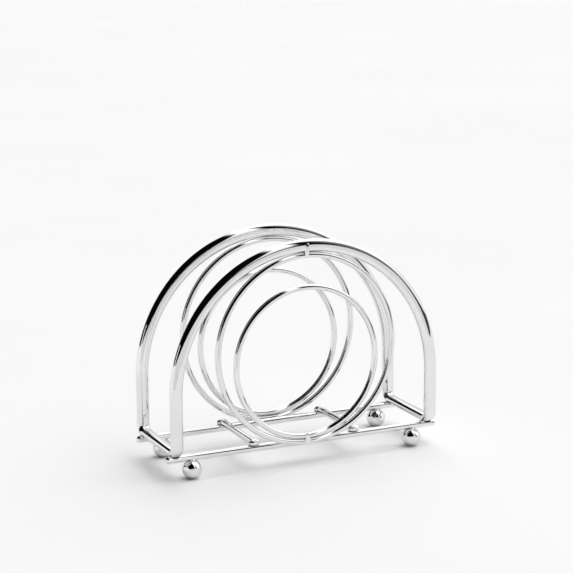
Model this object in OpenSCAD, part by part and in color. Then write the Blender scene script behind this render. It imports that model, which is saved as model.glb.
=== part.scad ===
// Napkin holder of chromed flat bar and wire: two arched hoops with rings, on rails and ball feet.
// Frame: +Z up, X along the rails, the front is at -Y, the origin is on the table under the middle.

/* [Hoops] */
// Distance between the two legs of a hoop, axis to axis
hoop_span = 164; // [140:1:200]
// Width of the flat bar that the hoops are bent from, in the hoop's plane
hoop_w = 7.6; // [6:0.1:10]
// Thickness of the flat bar, which is the diameter of its round edges too
hoop_t = 4.8; // [3.5:0.1:5.8]
// Height from the side run's axis to the start of the arch
leg_rise = 32.5; // [20:0.5:60]
// Radius of the bend at the foot of a leg, on the bar's axis
bend_r = 4.5; // [4:0.5:8]
// Depth to which a bend is set down on its rail
hoop_sink = 0.9; // [0.4:0.1:1.5]
// Distance between the front and the rear hoop, axis to axis
hoop_gap = 54; // [44:1:90]

/* [Rings] */
// Diameter of the ring wire
ring_d = 3.5; // [2.5:0.1:4.5]
// Height between the tops of the outer and the inner ring, axis to axis
ring_step = 19; // [8:0.5:50]
// Height of the outer ring's lowest point over the rail, axis to axis
ring_lift = 0.8; // [0:0.1:3]

/* [Base] */
// Diameter of the wire of the rails and the cross bars
rail_d = 4.2; // [3:0.1:6]
// Length by which a rail passes the outer side of the hoops
rail_reach = 2.2; // [0:0.1:8]
// Distance between the two cross bars, axis to axis
bar_span = 65; // [30:1:100]
// Depth to which a cross bar is set down into the rails
bar_sink = 0.9; // [0.4:0.1:1.5]

/* [Feet] */
// Diameter of a ball foot
foot_d = 11.5; // [9:0.1:16]
// Distance from a rail's end to the middle of the foot under it
foot_inset = 16.5; // [12:0.5:40]
// Depth to which a rail is let into a ball
foot_sink = 0.6; // [0.3:0.1:1.5]
// Depth of the flat that is ground under a ball
foot_flat = 0.25; // [0.1:0.05:0.6]

/* [Welds] */
// Diameter of the bead between the arch and the outer ring
top_bead_d = 3.2; // [2:0.1:4]
// Diameter of the bead between the two rings
bottom_bead_d = 4; // [3:0.1:5]
// Height by which a bead stands proud of the wire that it covers
bead_proud = 0.7; // [0.4:0.1:1.2]
// Length of the fillets between hoops and rails
rail_weld_l = 6.4; // [4:0.1:8]
// Diameter of the fillets between hoops and rails
rail_weld_d = 2.4; // [1.6:0.1:3]
// Width of the nugget over a cross bar's end
bar_weld_w = 7.2; // [6:0.1:9]
// Height of the nugget over a cross bar's end
bar_weld_d = 4.2; // [3.5:0.1:5]
// Length by which the nugget stands past a cross bar's end
bar_weld_proud = 0.6; // [0.4:0.1:1.2]
// Diameter of the tacks between feet and rails
foot_weld_d = 2.4; // [1.6:0.1:3.2]

/* [Hidden] */
$fn = 160;

// Gap between two wires that lie against each other
joint_gap = 0.05;
// Gap between a weld and the wires that it fills in between
weld_gap = 0.04;
// Length by which a cut runs past what it cuts
overrun = 1;

chrome = [0.78, 0.79, 0.80];
weld_chrome = [0.70, 0.71, 0.72];

hoop_r = hoop_t / 2;
ring_r = ring_d / 2;
rail_r = rail_d / 2;
foot_r = foot_d / 2;
half_span = hoop_span / 2;
half_gap = hoop_gap / 2;

// The rail lies behind the outer ring, which passes in front of it.
rail_inset = ring_r + joint_gap + rail_r;
rail_y = half_gap - rail_inset;
rail_z = foot_d - foot_flat - foot_sink + rail_r;
rail_half = half_span + hoop_w / 2 + rail_reach;

// The bend rests on the rail, so the rail's axis is this far from the bend's centre.
bend_outer_r = bend_r + hoop_r;
bend_to_rail = bend_outer_r + rail_r - hoop_sink;
bend_y = half_gap - bend_r;
bend_drop = sqrt(pow(bend_to_rail, 2) - pow(rail_y - bend_y, 2));
bend_z = rail_z + bend_drop;
run_z = bend_z - bend_r;
// The seat's corners, seen from the bend's centre along the line to the rail
seat_drop = (pow(bend_outer_r, 2) - pow(rail_r, 2) + pow(bend_to_rail, 2)) / (2 * bend_to_rail);
seat_half = sqrt(pow(bend_outer_r, 2) - pow(seat_drop, 2));
seat_tilt = atan2(rail_y - bend_y, bend_drop);
arch_z = run_z + leg_rise;

// The outer ring reaches from the rail to the inside of the arch.
outer_ring_low = rail_z + ring_lift;
outer_ring_high = arch_z + half_span - hoop_w / 2 - joint_gap - ring_r;
outer_ring_r = (outer_ring_high - outer_ring_low) / 2;
outer_ring_z = outer_ring_low + outer_ring_r;

// The inner ring lies on the outer ring's lowest point and stays one step below its top.
inner_ring_low = outer_ring_low + ring_d + joint_gap;
inner_ring_r = (outer_ring_high - ring_step - inner_ring_low) / 2;
inner_ring_z = inner_ring_low + inner_ring_r;

bar_x = bar_span / 2;
bar_z = rail_z + rail_d - bar_sink;
// A cross bar ends flush with the outer sides of the rails.
bar_half = rail_y + rail_r;

foot_x = rail_half - foot_inset;
foot_z = foot_r - foot_flat;
// The corner between a ball and its rail, over the ball's middle
corner_rise = (pow(foot_r, 2) - pow(rail_r, 2) + pow(rail_z - foot_z, 2)) / (2 * (rail_z - foot_z));
corner_y = sqrt(pow(foot_r, 2) - pow(corner_rise, 2));

// The outer faces of the beads stand this far outside the hoop's plane.
top_bead_face = hoop_r + bead_proud;
bottom_bead_face = ring_r + bead_proud;

// Straight wire along X with domed ends
module wire_x(half_length, radius) {
    translate([radius - half_length, 0, 0])
        rotate([0, 90, 0])
            cylinder(r = radius, h = 2 * (half_length - radius));
    for (side = [-1, 1])
        translate([side * (half_length - radius), 0, 0])
            sphere(r = radius);
}

// Section swept about the Y axis, from the +X side over the top
module arc(axis_radius, turn) {
    rotate([90, 0, 0])
        rotate_extrude(angle = turn)
            translate([axis_radius, 0])
                children();
}

// Section of the flat bar with its width along X, with room around it
module bar_section(room) {
    square([hoop_w - hoop_t, hoop_t + 2 * room], center = true);
    for (side = [-1, 1])
        translate([side * (hoop_w - hoop_t) / 2, 0])
            circle(r = hoop_r + room);
}

// Leg, bend and side run of the front hoop, with room around them
module side_bar(room) {
    translate([0, -half_gap, bend_z])
        linear_extrude(arch_z - bend_z)
            bar_section(room);
    translate([0, -bend_y, bend_z])
        rotate([180, 0, -90])
            arc(bend_r, 90)
                rotate(90)
                    bar_section(room);
    translate([0, -bend_y, run_z])
        rotate([-90, 0, 0])
            linear_extrude(bend_y)
                bar_section(room);
}

// Rail with room around it
module rail_wire(room) {
    translate([0, -rail_y, rail_z])
        wire_x(rail_half + room, rail_r + room);
}

// Cross bar with room around it
module bar_wire(room) {
    translate([0, 0, bar_z])
        rotate([0, 0, 90])
            wire_x(bar_half + room, rail_r + room);
}

// Cross bar with a seat for each rail
module cross_bar() {
    difference() {
        bar_wire(0);
        rail_wire(joint_gap);
        at_rear() rail_wire(joint_gap);
    }
}

// Ring in the front hoop's plane with room around it
module ring_wire(axis_z, axis_radius, room) {
    translate([0, -half_gap, axis_z])
        arc(axis_radius, 360)
            circle(r = ring_r + room);
}

// Arch of the front hoop with room around it
module arch_bar(room) {
    translate([0, -half_gap, arch_z])
        arc(half_span, 180)
            bar_section(room);
}

// Front hoop with a seat for its rail under each bend
module hoop() {
    arch_bar(0);
    for (side = [-1, 1])
        difference() {
            translate([side * half_span, 0, 0])
                side_bar(0);
            rail_wire(joint_gap);
        }
}

module foot() {
    difference() {
        translate([foot_x, -rail_y, foot_z])
            sphere(r = foot_r);
        rail_wire(joint_gap);
        translate([foot_x - foot_r, -rail_y - foot_r, -foot_flat - overrun])
            cube([foot_d, foot_d, foot_flat + overrun]);
    }
}

// Upright bead with domed ends that stays on the outside of the front hoop's plane
module bead(face, radius, low, high) {
    translate([0, -half_gap, 0])
        difference() {
            translate([0, radius - face, 0]) {
                translate([0, 0, low])
                    cylinder(r = radius, h = high - low);
                for (end_z = [low, high])
                    translate([0, 0, end_z])
                        sphere(r = radius);
            }
            translate([-radius - overrun, 0, low - radius - overrun])
                cube([2 * (radius + overrun), 2 * radius, high - low + 2 * (radius + overrun)]);
        }
}

// Bead between the arch and the outer ring's top
module top_weld() {
    difference() {
        bead(top_bead_face, top_bead_d / 2, outer_ring_high, arch_z + half_span - top_bead_d / 2);
        arch_bar(weld_gap);
        ring_wire(outer_ring_z, outer_ring_r, weld_gap);
    }
}

// Bead between the two rings over the rail
module bottom_weld() {
    difference() {
        bead(bottom_bead_face, bottom_bead_d / 2, outer_ring_low, inner_ring_low);
        ring_wire(outer_ring_z, outer_ring_r, weld_gap);
        ring_wire(inner_ring_z, inner_ring_r, weld_gap);
    }
}

// Fillets in the two corners between a side bar and the front rail
module rail_weld() {
    difference() {
        translate([half_span, -bend_y, bend_z])
            rotate([-seat_tilt, 0, 0])
                for (side = [-1, 1])
                    translate([0, side * seat_half, -seat_drop])
                        wire_x(rail_weld_l / 2, rail_weld_d / 2);
        translate([half_span, 0, 0])
            side_bar(weld_gap);
        rail_wire(weld_gap);
    }
}

// Nugget that covers a cross bar's end on the front rail
module bar_weld() {
    difference() {
        translate([bar_x, bar_weld_d / 2 - bar_half - bar_weld_proud, bar_z])
            wire_x(bar_weld_w / 2, bar_weld_d / 2);
        translate([bar_x, 0, 0])
            bar_wire(weld_gap);
        rail_wire(weld_gap);
    }
}

// Tacks in the corners between a foot and the front rail
module foot_weld() {
    difference() {
        for (side = [-1, 1])
            translate([foot_x, side * corner_y - rail_y, foot_z + corner_rise])
                sphere(d = foot_weld_d);
        translate([foot_x, -rail_y, foot_z])
            sphere(r = foot_r + weld_gap);
        rail_wire(weld_gap);
    }
}

// Copies in all four corners of the base
module four_corners() {
    for (across = [0, 1], along = [0, 1])
        mirror([across, 0, 0])
            mirror([0, along, 0])
                children();
}

module at_rear() {
    mirror([0, 1, 0]) children();
}

module at_left() {
    mirror([1, 0, 0]) children();
}

module front_hoop() { color(chrome) hoop(); }
module rear_hoop() { color(chrome) at_rear() hoop(); }
module front_rail() { color(chrome) rail_wire(0); }
module rear_rail() { color(chrome) at_rear() rail_wire(0); }
module left_cross_bar() { color(chrome) translate([-bar_x, 0, 0]) cross_bar(); }
module right_cross_bar() { color(chrome) translate([bar_x, 0, 0]) cross_bar(); }
module front_outer_ring() { color(chrome) ring_wire(outer_ring_z, outer_ring_r, 0); }
module front_inner_ring() { color(chrome) ring_wire(inner_ring_z, inner_ring_r, 0); }
module rear_outer_ring() { color(chrome) at_rear() ring_wire(outer_ring_z, outer_ring_r, 0); }
module rear_inner_ring() { color(chrome) at_rear() ring_wire(inner_ring_z, inner_ring_r, 0); }
module front_left_foot() { color(chrome) at_left() foot(); }
module front_right_foot() { color(chrome) foot(); }
module rear_left_foot() { color(chrome) at_rear() at_left() foot(); }
module rear_right_foot() { color(chrome) at_rear() foot(); }
module front_top_weld() { color(weld_chrome) top_weld(); }
module front_bottom_weld() { color(weld_chrome) bottom_weld(); }
module rear_top_weld() { color(weld_chrome) at_rear() top_weld(); }
module rear_bottom_weld() { color(weld_chrome) at_rear() bottom_weld(); }
module rail_welds() { color(weld_chrome) four_corners() rail_weld(); }
module cross_bar_welds() { color(weld_chrome) four_corners() bar_weld(); }
module foot_welds() { color(weld_chrome) four_corners() foot_weld(); }

front_hoop();
rear_hoop();
front_rail();
rear_rail();
left_cross_bar();
right_cross_bar();
front_outer_ring();
front_inner_ring();
rear_outer_ring();
rear_inner_ring();
front_left_foot();
front_right_foot();
rear_left_foot();
rear_right_foot();
front_top_weld();
front_bottom_weld();
rear_top_weld();
rear_bottom_weld();
rail_welds();
cross_bar_welds();
foot_welds();
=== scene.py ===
"""Looks of a chromed napkin holder of flat bar and wire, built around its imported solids, in metres."""
import math

import bmesh
import bpy
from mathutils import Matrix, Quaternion, Vector, noise


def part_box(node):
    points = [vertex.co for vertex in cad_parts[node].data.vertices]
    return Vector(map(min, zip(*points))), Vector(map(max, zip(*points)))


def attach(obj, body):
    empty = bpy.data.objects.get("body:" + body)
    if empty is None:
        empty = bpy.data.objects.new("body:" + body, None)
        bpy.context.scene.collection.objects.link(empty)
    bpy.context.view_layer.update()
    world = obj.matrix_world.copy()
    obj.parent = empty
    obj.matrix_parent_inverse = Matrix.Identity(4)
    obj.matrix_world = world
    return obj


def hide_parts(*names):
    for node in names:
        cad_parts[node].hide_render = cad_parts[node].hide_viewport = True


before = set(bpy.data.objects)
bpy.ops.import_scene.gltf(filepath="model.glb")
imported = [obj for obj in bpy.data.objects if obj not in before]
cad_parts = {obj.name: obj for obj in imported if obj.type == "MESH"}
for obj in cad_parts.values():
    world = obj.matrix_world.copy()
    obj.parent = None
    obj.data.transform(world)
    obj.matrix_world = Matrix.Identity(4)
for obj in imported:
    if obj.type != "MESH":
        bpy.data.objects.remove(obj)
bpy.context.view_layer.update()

# Sizes that the nodes' boxes don't give
HOOP_WIDTH = 0.0076
HOOP_EDGE = 0.0033
BEND_RADIUS = 0.0045
FOOT_FLAT = 0.00025

# Resolution of the meshes
TUBE_SIDES = 48
ARCH_STEPS = 144
RING_STEPS = 192
BEND_STEPS = 24
STRAIGHT_STEPS = 10
FLAT_STEPS = 6
DOME_STEPS = 12
BALL_STEPS = 64
BEAD_STEPS = 28

# Camera, as fitted to the picture
IMAGE_PIXELS = 573
FOCAL_PIXELS = 1910
SENSOR_WIDTH = 36
CLIP_END = 100
ORBIT_CENTRE = Vector((0, 0, 0.060))
ORBIT_DISTANCE = 1.1369
ORBIT_AZIMUTH = -24.80
ORBIT_ELEVATION = 14.47
AIM_AZIMUTH = -24.80
AIM_ELEVATION = 12.44
PICTURE_ROLL = 0.50

# Levels of the room's light, of its dark cloths, which is also the level of the paper's painted dark
# reflection, and of what still passes the thin side of the right one
SKY_LEVEL = 1.5
HORIZON_LEVEL = 1.0
CLOTH_AND_PAINTED_REFLECTION_LEVEL = 0.002
VEIL_LIGHT = 0.22

# Edges in the room: a direction, then where along it the edge starts and is complete
SKY_RISE = ((0, 0, 1), 0.20, 0.45)
LEFT_CLOTH = (((-0.94, -0.34, 0), 0.06, 0.14), ((-0.6, -1, 0), -0.60, -0.40))
UPPER_LEFT_CLOTH = (((-1, 0, 0), -0.08, 0.04), ((0, 0, 1), 0.30, 0.37))
RIGHT_CLOTH = (((0.93, 0.37, 0), -0.01, 0.04), ((-0.51, -0.84, -0.20), 0.03, 0.20))
RIGHT_VEIL = ((0.86, 0.51, 0), -0.05, 0.06)
# Past this edge the paper is painted near black in mirrored light only, a painted dark reflection
PAINTED_REFLECTION_EDGE = ((0, -1, 0), 0.275, 0.29)

# Floor, and paper that shows only in the chrome: folds at the front and the left, a card at the left
FLOOR_HALF = 20
FRONT_FOLD_Y = -0.27
FRONT_FOLD_RIGHT = 0.235
LEFT_FOLD_X = -0.33
LEFT_FOLD_REAR = 0.20
FOLD_HEIGHT = 0.084
CARD_X = -0.329
CARD_FRONT = -0.11
CARD_REAR = -0.03
CARD_HEIGHT = 0.156

# Key lamp
KEY_ENERGY = 1.27
KEY_ANGLE = 60
KEY_DIRECTION = Vector((-0.12, 0.05, -1))

# Where a noise value counts as low and high, for colours and for other values
COLOUR_NOISE = (0.35, 0.65)
VALUE_NOISE = (0.3, 0.7)

# Heights below which painted shade darkens the welds of the cross bars and the hoops, for the shaded crevices
# along their lower edges, and the grey of that painted shade
BAR_PAINTED_SHADE_HEIGHTS = (0.0147, 0.0152)
HOOP_PAINTED_SHADE_HEIGHTS = (0.0142, 0.0150)
PAINTED_SHADE_LEVEL = 0.03

# Flame-shaped beads: half widths, reach into and out of the wires, then how they round off and taper
TOP_BEAD_WIDTH = 0.0018
BOTTOM_BEAD_WIDTH = 0.0028
BEAD_TIP_WIDTH = 0.0014
BEAD_KEEL = 0.0006
BEAD_PROUD = 0.0008
BEAD_END_SHARE = 0.04
BEAD_SWELL_POWER = 0.25
BEAD_TAPER_RATE = 1.35
BEAD_TAPER_POWER = 0.8

# Ends of the beads, as shares of the ring wire's radius and, for the top one's upper end, of the hoop's width
TOP_BEAD_DROP_SHARE = 1.8
TOP_BEAD_DEPTH_SHARE = 0.8
TOP_BEAD_RISE_SHARE = 0.2
BOTTOM_BEAD_LOW_SHARE = 0.2
BOTTOM_BEAD_HIGH_SHARE = 1.9

# Half sizes of the small welds, and the waves on all welds
RAIL_WELD = Vector((0.0032, 0.0024, 0.0010))
FOOT_WELD = Vector((0.0015, 0.0010, 0.0009))
WELD_WAVE = 0.0013
WELD_LIFT = 0.00006


def box_of(node):
    low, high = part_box(node)
    return Vector(low), Vector(high)


def middle(node):
    low, high = box_of(node)
    return (low + high) / 2


def size(node):
    low, high = box_of(node)
    return high - low


# Measures of the hoops, wires and feet, read from the frame
RING_RADIUS = size("front_outer_ring").y / 2
HOOP_Y = abs(middle("front_outer_ring").y)
HOOP_THICKNESS = 2 * (abs(box_of("front_hoop")[0].y) - HOOP_Y)
HALF_SPAN = (size("front_hoop").x - HOOP_WIDTH) / 2
RUN_Z = box_of("front_hoop")[0].z + HOOP_THICKNESS / 2
ARCH_Z = box_of("front_hoop")[1].z - HOOP_WIDTH / 2 - HALF_SPAN
RAIL_RADIUS = size("front_rail").z / 2
RAIL_Y = abs(middle("front_rail").y)
RAIL_Z = middle("front_rail").z
FOOT_RADIUS = size("front_left_foot").x / 2


# Materials

def new_material(name):
    material = bpy.data.materials.new(name)
    material.use_nodes = True
    nodes = material.node_tree.nodes
    return material, nodes, material.node_tree.links, nodes["Principled BSDF"]


def noise_texture(nodes, links, scale, detail):
    place = nodes.new("ShaderNodeTexCoord")
    texture = nodes.new("ShaderNodeTexNoise")
    texture.inputs["Scale"].default_value = scale
    texture.inputs["Detail"].default_value = detail
    links.new(place.outputs["Object"], texture.inputs["Vector"])
    return texture


def colour_ramp(nodes, links, source, low, high):
    ramp = nodes.new("ShaderNodeValToRGB")
    for element, position, colour in zip(ramp.color_ramp.elements, COLOUR_NOISE, (low, high)):
        element.position = position
        element.color = (*colour, 1)
    links.new(source.outputs["Fac"], ramp.inputs["Fac"])
    return ramp


def value_range(nodes, links, source, low, high):
    spread = nodes.new("ShaderNodeMapRange")
    spread.inputs["From Min"].default_value, spread.inputs["From Max"].default_value = VALUE_NOISE
    spread.inputs["To Min"].default_value = low
    spread.inputs["To Max"].default_value = high
    links.new(source.outputs["Fac"], spread.inputs["Value"])
    return spread


def bump(nodes, links, source, strength, distance):
    relief = nodes.new("ShaderNodeBump")
    relief.inputs["Strength"].default_value = strength
    relief.inputs["Distance"].default_value = distance
    links.new(source.outputs["Fac"], relief.inputs["Height"])
    return relief


def chrome_plate():
    """Mirror-bright plating with faint waves of the drawn wire and thin smudges."""
    material, nodes, links, shader = new_material("chrome_plate")
    shader.inputs["Metallic"].default_value = 1
    shader.inputs["Specular Tint"].default_value = (0.7, 0.7, 0.7, 1)
    clouds = noise_texture(nodes, links, scale=45, detail=3)
    tint = colour_ramp(nodes, links, clouds, low=(0.79, 0.795, 0.80), high=(0.83, 0.832, 0.835))
    links.new(tint.outputs["Color"], shader.inputs["Base Color"])
    smudges = noise_texture(nodes, links, scale=160, detail=6)
    haze = value_range(nodes, links, smudges, low=0.015, high=0.045)
    links.new(haze.outputs["Result"], shader.inputs["Roughness"])
    drawing = noise_texture(nodes, links, scale=300, detail=2)
    waves = bump(nodes, links, drawing, strength=0.03, distance=0.0001)
    links.new(waves.outputs["Normal"], shader.inputs["Normal"])
    return material


def weld_plate(name, shade_heights=None):
    """Rougher plating over small uneven welds; given two heights, painted shade turns it near black below
    them, for the shaded crevice where the weld meets the wire.
    """
    material, nodes, links, shader = new_material(name)
    shader.inputs["Metallic"].default_value = 1
    clouds = noise_texture(nodes, links, scale=500, detail=4)
    tint = colour_ramp(nodes, links, clouds, low=(0.78, 0.785, 0.79), high=(0.86, 0.86, 0.86))
    colour = tint.outputs["Color"]
    if shade_heights:
        tree = material.node_tree
        place = nodes.new("ShaderNodeTexCoord").outputs["Object"]
        # painted shade: near black below the given heights, where the crevice under the weld lies in shade
        painted_crevice_shade = edge(tree, place, (0, 0, -1), -shade_heights[1], -shade_heights[0])
        colour = mixed(tree, painted_crevice_shade, colour, PAINTED_SHADE_LEVEL)
    links.new(colour, shader.inputs["Base Color"])
    smudges = noise_texture(nodes, links, scale=900, detail=5)
    haze = value_range(nodes, links, smudges, low=0.06, high=0.14)
    links.new(haze.outputs["Result"], shader.inputs["Roughness"])
    ripples = noise_texture(nodes, links, scale=1200, detail=4)
    waves = bump(nodes, links, ripples, strength=0.08, distance=0.0002)
    links.new(waves.outputs["Normal"], shader.inputs["Normal"])
    return material


def edge(tree, place, towards, low, high):
    """Soft edge across a place: nothing below low along a direction, everything above high."""
    along = tree.nodes.new("ShaderNodeVectorMath")
    along.operation = "DOT_PRODUCT"
    along.inputs[1].default_value = towards
    tree.links.new(place, along.inputs[0])
    rise = tree.nodes.new("ShaderNodeMapRange")
    rise.interpolation_type = "SMOOTHSTEP"
    rise.inputs["From Min"].default_value = low
    rise.inputs["From Max"].default_value = high
    tree.links.new(along.outputs["Value"], rise.inputs["Value"])
    return rise.outputs["Result"]


def combine(tree, operation, *values):
    """Math node; each of its values is a socket or a number."""
    node = tree.nodes.new("ShaderNodeMath")
    node.operation = operation
    for socket, value in zip(node.inputs, values):
        if isinstance(value, float):
            socket.default_value = value
        else:
            tree.links.new(value, socket)
    return node.outputs["Value"]


def mixed(tree, share, colour, grey):
    """A colour that turns into a grey level by a share."""
    fade = tree.nodes.new("ShaderNodeMix")
    fade.data_type = "RGBA"
    colours = [socket for socket in fade.inputs if socket.type == "RGBA"]
    tree.links.new(share, fade.inputs["Factor"])
    tree.links.new(colour, colours[0])
    colours[1].default_value = (grey, grey, grey, 1)
    return [socket for socket in fade.outputs if socket.type == "RGBA"][0]


def paper_floor():
    """White paper; in mirrored light only it is painted near black a little way in front of the holder, a
    painted dark reflection for the chrome.
    """
    material, nodes, links, shader = new_material("paper_floor")
    tree = material.node_tree
    clouds = noise_texture(nodes, links, scale=3, detail=2)
    grain = colour_ramp(nodes, links, clouds, low=(0.905, 0.905, 0.90), high=(0.92, 0.92, 0.915))
    place = nodes.new("ShaderNodeTexCoord").outputs["Object"]
    mirrored = nodes.new("ShaderNodeLightPath").outputs["Is Glossy Ray"]
    # painted reflection: in glossy rays the paper turns near black past the edge, so the chrome mirrors dark
    # there
    painted_dark_reflection = combine(tree, "MULTIPLY", edge(tree, place, *PAINTED_REFLECTION_EDGE), mirrored)
    links.new(mixed(tree, painted_dark_reflection, grain.outputs["Color"], CLOTH_AND_PAINTED_REFLECTION_LEVEL), shader.inputs["Base Color"])
    shader.inputs["Roughness"].default_value = 0.8
    shader.inputs["Specular IOR Level"].default_value = 0.2
    return material


CHROME = chrome_plate()
WELD = weld_plate("weld_plate")
# these two weld platings carry painted shade along their lower edges
BAR_WELD_PAINTED_SHADE = weld_plate("bar_weld_plate_painted_shade", BAR_PAINTED_SHADE_HEIGHTS)
HOOP_WELD_PAINTED_SHADE = weld_plate("hoop_weld_plate_painted_shade", HOOP_PAINTED_SHADE_HEIGHTS)


# Meshes

def add_piece(name, mesh, material, replaced):
    """Puts a mesh on the holder's body in place of its CAD nodes."""
    mesh.normal_update()
    data = bpy.data.meshes.new(name)
    mesh.to_mesh(data)
    mesh.free()
    data.materials.append(material)
    piece = bpy.data.objects.new(name, data)
    bpy.context.scene.collection.objects.link(piece)
    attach(piece, "root")
    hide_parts(replaced)
    return piece


def bridge(mesh, first, second):
    """Smooth quads between two rings of as many vertices."""
    count = len(first)
    for index in range(count):
        after = (index + 1) % count
        face = mesh.faces.new((first[index], first[after], second[after], second[index]))
        face.smooth = True


def cap(mesh, ring):
    """Flat end with a crisp edge."""
    mesh.faces.new(ring)
    for index, vertex in enumerate(ring):
        rim = mesh.edges.get((vertex, ring[(index + 1) % len(ring)]))
        rim.smooth = False


def round_section(radius):
    outline = []
    for step in range(TUBE_SIDES):
        turn = 2 * math.pi * step / TUBE_SIDES
        outline.append((radius * math.cos(turn), radius * math.sin(turn)))
    return outline


def bar_section(width, thickness, rounding):
    """Flat bar, wide along the first axis, with full round edges that draw in softly from the flats."""
    radius = thickness / 2
    reach = width / 2 - rounding
    outline = []
    for side in (1, -1):
        for step in range(TUBE_SIDES + 1):
            turn = math.pi * (step / TUBE_SIDES - 0.5)
            outline.append((side * (reach + rounding * math.cos(turn)), side * radius * math.sin(turn)))
        for step in range(1, FLAT_STEPS):
            outline.append((side * reach * (1 - 2 * step / FLAT_STEPS), side * radius))
    return outline


def sweep(path, section, side, closed):
    """Bar or wire along a path; its section's first axis starts towards side and doesn't twist."""
    count = len(path)
    tangents = []
    for index in range(count):
        before = path[index - 1] if closed or index else path[0]
        after = path[(index + 1) % count] if closed or index < count - 1 else path[-1]
        tangents.append((after - before).normalized())
    mesh = bmesh.new()
    rings = []
    for index in range(count):
        tangent = tangents[index]
        side = (side - tangent * side.dot(tangent)).normalized()
        across = tangent.cross(side)
        ring = [mesh.verts.new(path[index] + side * wide + across * deep) for wide, deep in section]
        rings.append(ring)
    for first, second in zip(rings, rings[1:]):
        bridge(mesh, first, second)
    if closed:
        bridge(mesh, rings[-1], rings[0])
    else:
        cap(mesh, rings[0][::-1])
        cap(mesh, rings[-1])
    return mesh


def turned(start, axis, profile):
    """Body turned about an axis, from (distance along it, radius) pairs; radius zero makes a point."""
    side = axis.orthogonal().normalized()
    across = axis.cross(side)
    mesh = bmesh.new()
    rings = []
    for along, radius in profile:
        centre = start + axis * along
        if radius == 0:
            rings.append([mesh.verts.new(centre)])
            continue
        ring = []
        for step in range(TUBE_SIDES):
            turn = 2 * math.pi * step / TUBE_SIDES
            ring.append(mesh.verts.new(centre + radius * (side * math.cos(turn) + across * math.sin(turn))))
        rings.append(ring)
    for first, second in zip(rings, rings[1:]):
        if len(first) == len(second):
            bridge(mesh, first, second)
            continue
        tip, ring = (first[0], second) if len(first) == 1 else (second[0], first)
        for index in range(TUBE_SIDES):
            pair = (ring[index], ring[(index + 1) % TUBE_SIDES])
            face = mesh.faces.new((tip, *pair) if len(second) == 1 else (tip, *pair[::-1]))
            face.smooth = True
    bmesh.ops.recalc_face_normals(mesh, faces=mesh.faces)
    return mesh


# Wires

def hoop_path(face):
    """Axis of a hoop from the right side's middle to the left one's; face is -1 in front, 1 at the rear."""
    right = []
    run = HOOP_Y - BEND_RADIUS
    for step in range(STRAIGHT_STEPS):
        right.append(Vector((HALF_SPAN, face * run * step / STRAIGHT_STEPS, RUN_Z)))
    for step in range(BEND_STEPS):
        turn = math.pi / 2 * step / BEND_STEPS
        out = run + BEND_RADIUS * math.sin(turn)
        right.append(Vector((HALF_SPAN, face * out, RUN_Z + BEND_RADIUS * (1 - math.cos(turn)))))
    leg_low = RUN_Z + BEND_RADIUS
    for step in range(STRAIGHT_STEPS):
        right.append(Vector((HALF_SPAN, face * HOOP_Y, leg_low + (ARCH_Z - leg_low) * step / STRAIGHT_STEPS)))
    arch = []
    for step in range(ARCH_STEPS + 1):
        turn = math.pi * step / ARCH_STEPS
        arch.append(Vector((HALF_SPAN * math.cos(turn), face * HOOP_Y, ARCH_Z + HALF_SPAN * math.sin(turn))))
    left = [Vector((-point.x, point.y, point.z)) for point in reversed(right)]
    return right + arch + left


def ring_path(node):
    centre = middle(node)
    radius = size(node).x / 2 - RING_RADIUS
    path = []
    for step in range(RING_STEPS):
        turn = 2 * math.pi * step / RING_STEPS
        path.append(centre + Vector((radius * math.cos(turn), 0, radius * math.sin(turn))))
    return path


def domed_profile(length, radius):
    dome = []
    for step in range(DOME_STEPS + 1):
        turn = math.pi / 2 * step / DOME_STEPS
        dome.append((radius * (1 - math.cos(turn)), radius * math.sin(turn)))
    dome[0] = (0, 0)
    body = []
    for step in range(1, STRAIGHT_STEPS):
        body.append((radius + (length - 2 * radius) * step / STRAIGHT_STEPS, radius))
    far = [(length - along, wide) for along, wide in reversed(dome)]
    return dome + body + far


def straight_wire(node):
    """Wire with domed ends in a node's place."""
    extent = size(node)
    axis = Vector((1, 0, 0)) if extent.x > extent.y else Vector((0, 1, 0))
    length = max(extent.x, extent.y)
    return turned(middle(node) - axis * length / 2, axis, domed_profile(length, RAIL_RADIUS))


def ball_foot(node):
    """Ball with a ground flat below and a seat for the rail above."""
    low, high = box_of(node)
    centre = Vector(((low.x + high.x) / 2, (low.y + high.y) / 2, low.z + FOOT_RADIUS - FOOT_FLAT))
    flat_turn = math.acos((FOOT_RADIUS - FOOT_FLAT) / FOOT_RADIUS)
    profile = [(FOOT_FLAT, 0)]
    for step in range(BALL_STEPS + 1):
        turn = flat_turn + (math.pi - flat_turn) * step / BALL_STEPS
        profile.append((FOOT_RADIUS * (1 - math.cos(turn)), FOOT_RADIUS * math.sin(turn)))
    profile[-1] = (2 * FOOT_RADIUS, 0)
    mesh = turned(centre - Vector((0, 0, FOOT_RADIUS)), Vector((0, 0, 1)), profile)
    rail_y = math.copysign(RAIL_Y, centre.y)
    for vertex in mesh.verts:
        away = vertex.co.y - rail_y
        if abs(away) < RAIL_RADIUS and vertex.co.z > centre.z:
            seat = RAIL_Z - math.sqrt(RAIL_RADIUS ** 2 - away ** 2)
            vertex.co.z = min(vertex.co.z, seat)
    return mesh


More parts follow.
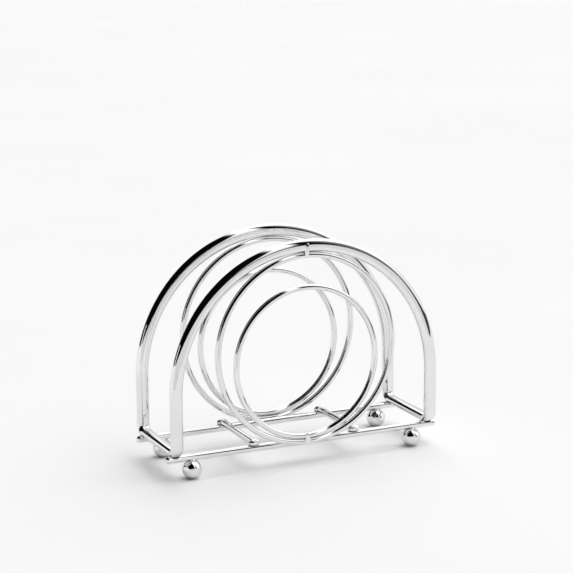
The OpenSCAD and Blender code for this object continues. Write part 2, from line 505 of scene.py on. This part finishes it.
HOOP_SECTION = bar_section(HOOP_WIDTH, HOOP_THICKNESS, HOOP_EDGE)
RING_SECTION = round_section(RING_RADIUS)
for face, end in ((-1, "front"), (1, "rear")):
    hoop = sweep(hoop_path(face), HOOP_SECTION, Vector((1, 0, 0)), False)
    add_piece(end + "_hoop_bar", hoop, CHROME, end + "_hoop")
    for ring in ("outer", "inner"):
        node = end + "_" + ring + "_ring"
        wire = sweep(ring_path(node), RING_SECTION, Vector((0, 1, 0)), True)
        add_piece(node + "_wire", wire, CHROME, node)
    add_piece(end + "_rail_wire", straight_wire(end + "_rail"), CHROME, end + "_rail")
    for hand in ("left", "right"):
        node = end + "_" + hand + "_foot"
        add_piece(node + "_ball", ball_foot(node), CHROME, node)
for hand in ("left", "right"):
    node = hand + "_cross_bar"
    add_piece(node + "_wire", straight_wire(node), CHROME, node)


# Welds

def loft(sections):
    """Closed bead through level ellipses, each a centre, a half width and a half depth."""
    mesh = bmesh.new()
    rings = []
    for centre, wide, deep in sections:
        ring = []
        for step in range(TUBE_SIDES):
            turn = 2 * math.pi * step / TUBE_SIDES
            ring.append(mesh.verts.new(centre + Vector((wide * math.cos(turn), deep * math.sin(turn), 0))))
        rings.append(ring)
    for first, second in zip(rings, rings[1:]):
        bridge(mesh, first, second)
    for ring, centre in ((rings[0][::-1], sections[0][0]), (rings[-1], sections[-1][0])):
        tip = mesh.verts.new(centre)
        for index in range(TUBE_SIDES):
            face = mesh.faces.new((ring[index], ring[(index + 1) % TUBE_SIDES], tip))
            face.smooth = True
    return mesh


def flame(low_z, high_z, low_depth, high_depth, root, face):
    """Flame-shaped bead on the outside of a hoop's plane, wide at its root and narrow at its tip."""
    sections = []
    for step in range(BEAD_STEPS + 1):
        share = step / BEAD_STEPS
        swell = math.sin(math.pi * (BEAD_END_SHARE + (1 - 2 * BEAD_END_SHARE) * share)) ** BEAD_SWELL_POWER
        taper = min(1, BEAD_TAPER_RATE * share) ** BEAD_TAPER_POWER
        wide = swell * (root + (BEAD_TIP_WIDTH - root) * taper)
        depth = low_depth + (high_depth - low_depth) * share - BEAD_KEEL
        centre = Vector((0, face * (HOOP_Y + depth), low_z + (high_z - low_z) * share))
        sections.append((centre, wide, (BEAD_KEEL + BEAD_PROUD) * swell))
    return loft(sections)


def nugget(mesh, centre, half):
    """Rounded lump of weld metal added to a mesh."""
    made = bmesh.ops.create_uvsphere(mesh, u_segments=TUBE_SIDES, v_segments=TUBE_SIDES // 2, radius=1)
    for vertex in made["verts"]:
        vertex.co = centre + Vector([axis * part for axis, part in zip(vertex.co, half)])
    for face in mesh.faces:
        face.smooth = True


def roughen(mesh):
    """Small waves of metal that froze while it flowed."""
    mesh.normal_update()
    for vertex in mesh.verts:
        lift = noise.noise(vertex.co / WELD_WAVE)
        vertex.co = vertex.co + vertex.normal * WELD_LIFT * lift
    return mesh


ARCH_TOP = ARCH_Z + HALF_SPAN
OUTER_LOW, OUTER_HIGH = (corner.z for corner in box_of("front_outer_ring"))
INNER_LOW = box_of("front_inner_ring")[0].z
for face, end in ((-1, "front"), (1, "rear")):
    top_bead = flame(OUTER_HIGH - TOP_BEAD_DROP_SHARE * RING_RADIUS,
                     ARCH_TOP + TOP_BEAD_RISE_SHARE * HOOP_WIDTH,
                     TOP_BEAD_DEPTH_SHARE * RING_RADIUS, HOOP_THICKNESS / 2, TOP_BEAD_WIDTH, face)
    add_piece(end + "_top_bead", roughen(top_bead), WELD, end + "_top_weld")
    bottom_bead = flame(OUTER_LOW + BOTTOM_BEAD_LOW_SHARE * RING_RADIUS,
                        INNER_LOW + BOTTOM_BEAD_HIGH_SHARE * RING_RADIUS,
                        RING_RADIUS, RING_RADIUS, BOTTOM_BEAD_WIDTH, face)
    add_piece(end + "_bottom_bead", roughen(bottom_bead), WELD, end + "_bottom_weld")

bend_y = HOOP_Y - BEND_RADIUS
bend_z = RUN_Z + BEND_RADIUS
toward_rail = Vector((0, RAIL_Y - bend_y, RAIL_Z - bend_z)).normalized()
rail_seat = Vector((HALF_SPAN, bend_y, bend_z)) + toward_rail * (BEND_RADIUS + HOOP_THICKNESS / 2)
bar_seat = middle("right_cross_bar")
nugget_high = box_of("cross_bar_welds")[1]
bar_half = Vector((nugget_high.x - bar_seat.x, RAIL_RADIUS, RAIL_RADIUS))
bar_seat.y = nugget_high.y - RAIL_RADIUS
tack_low, tack_high = box_of("foot_welds")
foot_seat = middle("rear_right_foot")
foot_seat.z = tack_low.z + FOOT_WELD.z / 2
rail_welds, bar_welds, foot_welds = bmesh.new(), bmesh.new(), bmesh.new()
for across in (-1, 1):
    for along in (-1, 1):
        mirror = Vector((across, along, 1))
        nugget(rail_welds, rail_seat * mirror, RAIL_WELD)
        nugget(bar_welds, bar_seat * mirror, bar_half)
        for side in (-1, 1):
            tack = foot_seat * mirror
            tack.y = along * foot_seat.y + side * (tack_high.y - foot_seat.y - FOOT_WELD.y)
            nugget(foot_welds, tack, FOOT_WELD)
add_piece("hoop_fillets", roughen(rail_welds), HOOP_WELD_PAINTED_SHADE, "rail_welds")
add_piece("cross_bar_nuggets", roughen(bar_welds), BAR_WELD_PAINTED_SHADE, "cross_bar_welds")
add_piece("foot_tacks", roughen(foot_welds), WELD, "foot_welds")


# Set

def add_card(name, corners, material):
    """Flat sheet of the set, which is no piece of the holder."""
    data = bpy.data.meshes.new(name)
    data.from_pydata([Vector(corner) for corner in corners], [], [tuple(range(len(corners)))])
    data.materials.append(material)
    card = bpy.data.objects.new(name, data)
    bpy.context.scene.collection.objects.link(card)
    return card


PAPER = paper_floor()
add_card("floor", [(-FLOOR_HALF, -FLOOR_HALF, 0), (FLOOR_HALF, -FLOOR_HALF, 0),
                   (FLOOR_HALF, FLOOR_HALF, 0), (-FLOOR_HALF, FLOOR_HALF, 0)], PAPER)

fold_corner = (LEFT_FOLD_X, FRONT_FOLD_Y)
for name, start, stop, top in (("front_fold", (FRONT_FOLD_RIGHT, FRONT_FOLD_Y), fold_corner, FOLD_HEIGHT),
                               ("left_fold", fold_corner, (LEFT_FOLD_X, LEFT_FOLD_REAR), FOLD_HEIGHT),
                               ("left_card", (CARD_X, CARD_FRONT), (CARD_X, CARD_REAR), CARD_HEIGHT)):
    fold = add_card(name, [(*start, 0), (*stop, 0), (*stop, top), (*start, top)], PAPER)
    fold.visible_camera = False
    fold.visible_diffuse = False
    fold.visible_shadow = False


def studio_sky():
    """Soft white room with dark cloths at the left, the upper left and the front right, for the chrome."""
    world = bpy.data.worlds.new("studio")
    bpy.context.scene.world = world
    world.use_nodes = True
    tree = world.node_tree
    place = tree.nodes.new("ShaderNodeTexCoord").outputs["Generated"]
    left, upper_left, right = (
        combine(tree, "MULTIPLY", edge(tree, place, *first), edge(tree, place, *second))
        for first, second in (LEFT_CLOTH, UPPER_LEFT_CLOTH, RIGHT_CLOTH))
    veil = combine(tree, "MULTIPLY_ADD", edge(tree, place, *RIGHT_VEIL), -VEIL_LIGHT, 1.0)
    thin_right = combine(tree, "MULTIPLY", right, veil)
    cloth = combine(tree, "MAXIMUM", combine(tree, "MAXIMUM", left, upper_left), thin_right)
    open_share = combine(tree, "SUBTRACT", 1.0, cloth)
    raised = edge(tree, place, *SKY_RISE)
    white = combine(tree, "MULTIPLY_ADD", raised, SKY_LEVEL - HORIZON_LEVEL, HORIZON_LEVEL)
    level = combine(tree, "MAXIMUM", combine(tree, "MULTIPLY", white, open_share), CLOTH_AND_PAINTED_REFLECTION_LEVEL)
    tree.links.new(level, tree.nodes["Background"].inputs["Strength"])
    tree.nodes["Background"].inputs["Color"].default_value = (1, 1, 1, 1)


studio_sky()

lamp_data = bpy.data.lights.new("key", "SUN")
lamp_data.energy = KEY_ENERGY
lamp_data.angle = math.radians(KEY_ANGLE)
lamp = bpy.data.objects.new("key", lamp_data)
lamp.rotation_mode = "QUATERNION"
lamp.rotation_quaternion = KEY_DIRECTION.to_track_quat("-Z", "Y")
lamp.visible_glossy = False
bpy.context.scene.collection.objects.link(lamp)


# Camera

def direction(azimuth, elevation):
    """Unit vector from the holder towards a place round it."""
    turn, rise = math.radians(azimuth), math.radians(elevation)
    return Vector((math.sin(turn) * math.cos(rise), -math.cos(turn) * math.cos(rise), math.sin(rise)))


camera_data = bpy.data.cameras.new("camera")
camera_data.sensor_width = SENSOR_WIDTH
camera_data.lens = FOCAL_PIXELS / IMAGE_PIXELS * SENSOR_WIDTH
camera_data.clip_end = CLIP_END
camera = bpy.data.objects.new("camera", camera_data)
camera.location = ORBIT_CENTRE + ORBIT_DISTANCE * direction(ORBIT_AZIMUTH, ORBIT_ELEVATION)
camera.rotation_mode = "QUATERNION"
aim = (-direction(AIM_AZIMUTH, AIM_ELEVATION)).to_track_quat("-Z", "Y")
camera.rotation_quaternion = aim @ Quaternion((0, 0, 1), -math.radians(PICTURE_ROLL))
bpy.context.scene.collection.objects.link(camera)
bpy.context.scene.camera = camera
bpy.context.scene.view_settings.view_transform = "Standard"
